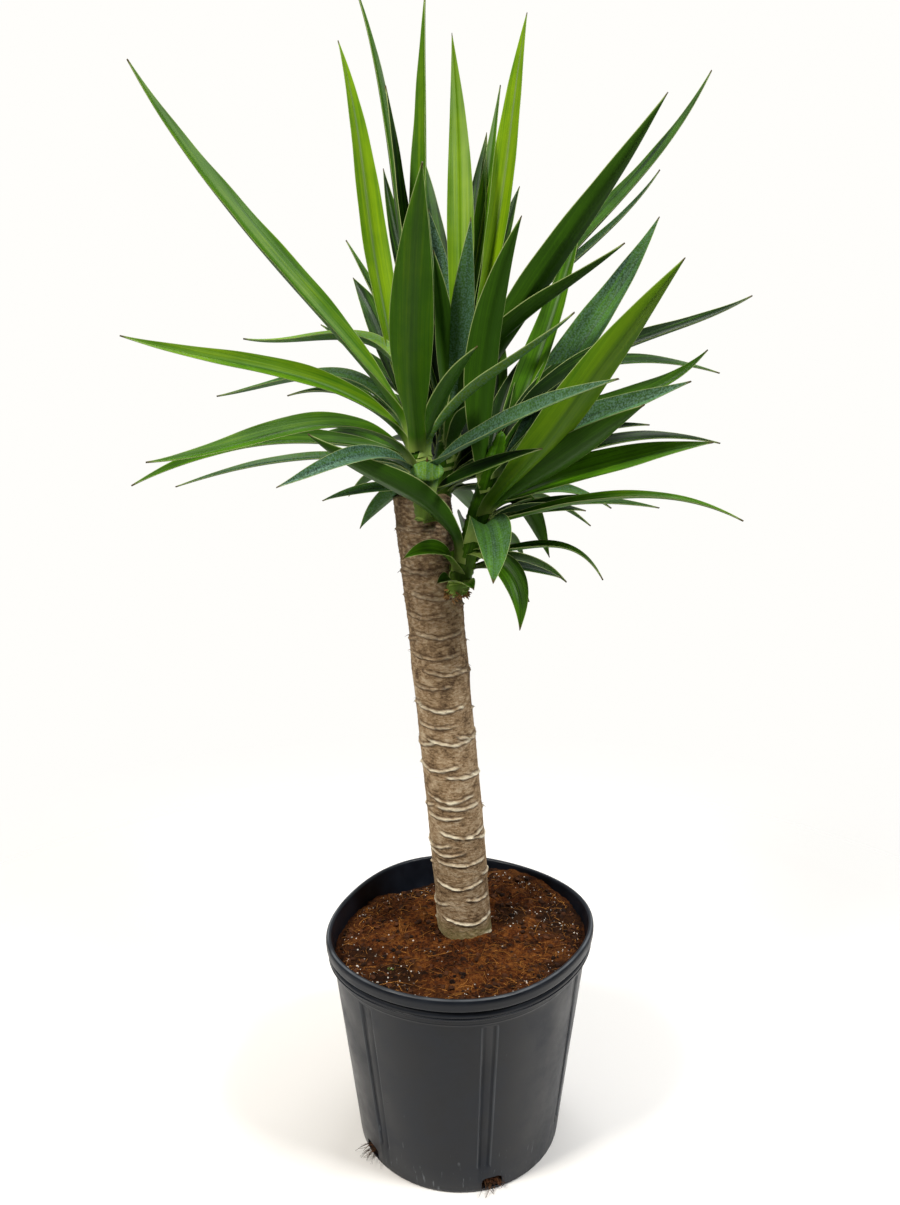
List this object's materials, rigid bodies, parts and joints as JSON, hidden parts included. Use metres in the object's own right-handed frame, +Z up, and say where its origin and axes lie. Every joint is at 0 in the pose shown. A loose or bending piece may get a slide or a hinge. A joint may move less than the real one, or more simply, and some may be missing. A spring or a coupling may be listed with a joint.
{
  "type": "potted yucca",
  "caption": "Young cane yucca with leafy heads of sword-shaped leaves, planted in coir in a round black nursery can with a flared wall, banded rim and drain holes.",
  "frame": {"origin": "centre of the can's underside, on the floor", "axes": "+Z straight up out of the can; -Y towards the side that the picture shows; +X to that view's right"},
  "size_m": [0.5588, 0.5082, 1.1693],
  "materials": {
    "can_plastic": "satin black polyethylene, moulded, lightly scuffed",
    "coir_soil": "damp reddish-brown coir and bark with a little perlite",
    "cane_bark": "dry grey-brown bark ringed with pale leaf scars",
    "leaf_green": "green living leaf, waxy sheen, fine lengthwise veins"
  },
  "bodies": {
    "root": {"pot": "can_plastic", "soil": "coir_soil", "trunk": "cane_bark", "head_front": "leaf_green", "head_rear": "leaf_green", "head_side": "leaf_green"}
  },
  "joints": []
}
